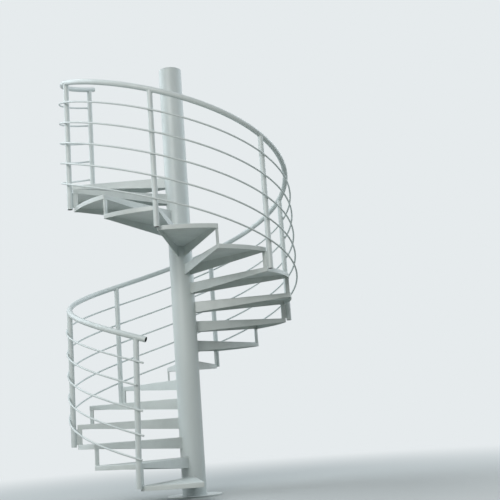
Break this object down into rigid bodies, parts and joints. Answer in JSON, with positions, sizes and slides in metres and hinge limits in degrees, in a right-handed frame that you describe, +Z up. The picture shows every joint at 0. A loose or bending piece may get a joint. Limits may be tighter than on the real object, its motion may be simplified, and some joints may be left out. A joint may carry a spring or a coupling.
{
  "type": "spiral staircase",
  "caption": "Welded steel spiral staircase: folded sheet treads around a tube pole, joined by outer struts, with tube posts, a helical handrail and infill rods.",
  "frame": {"origin": "on the axis of the centre pole, at the underside of the base plate", "axes": "+Z up along the pole; the first nosing runs out toward -Y and the stair climbs clockwise seen from above"},
  "size_m": [2.1894, 2.1852, 4.2173],
  "materials": {
    "pole_paint": "satin white paint",
    "tread_paint": "satin white paint",
    "rail_paint": "satin white paint"
  },
  "bodies": {
    "root": {"base_plate": "pole_paint", "centre_pole": "pole_paint", "pole_cap": "pole_paint", "tread_01": "tread_paint", "tread_02": "tread_paint", "tread_03": "tread_paint", "tread_04": "tread_paint", "tread_05": "tread_paint", "tread_06": "tread_paint", "tread_07": "tread_paint", "tread_08": "tread_paint", "tread_09": "tread_paint", "tread_10": "tread_paint", "tread_11": "tread_paint", "tread_12": "tread_paint", "tread_13": "tread_paint", "tread_14": "tread_paint", "tread_15": "tread_paint", "tread_16": "tread_paint", "tread_17": "tread_paint", "tread_struts": "tread_paint", "post_brackets": "rail_paint", "rail_post_1": "rail_paint", "rail_post_2": "rail_paint", "rail_post_3": "rail_paint", "rail_post_4": "rail_paint", "rail_post_5": "rail_paint", "rail_post_6": "rail_paint", "rail_post_7": "rail_paint", "rail_post_8": "rail_paint", "rail_post_9": "rail_paint", "handrail": "rail_paint", "infill_rod_1": "rail_paint", "infill_rod_2": "rail_paint", "infill_rod_3": "rail_paint", "infill_rod_4": "rail_paint", "infill_rod_5": "rail_paint"}
  },
  "joints": []
}
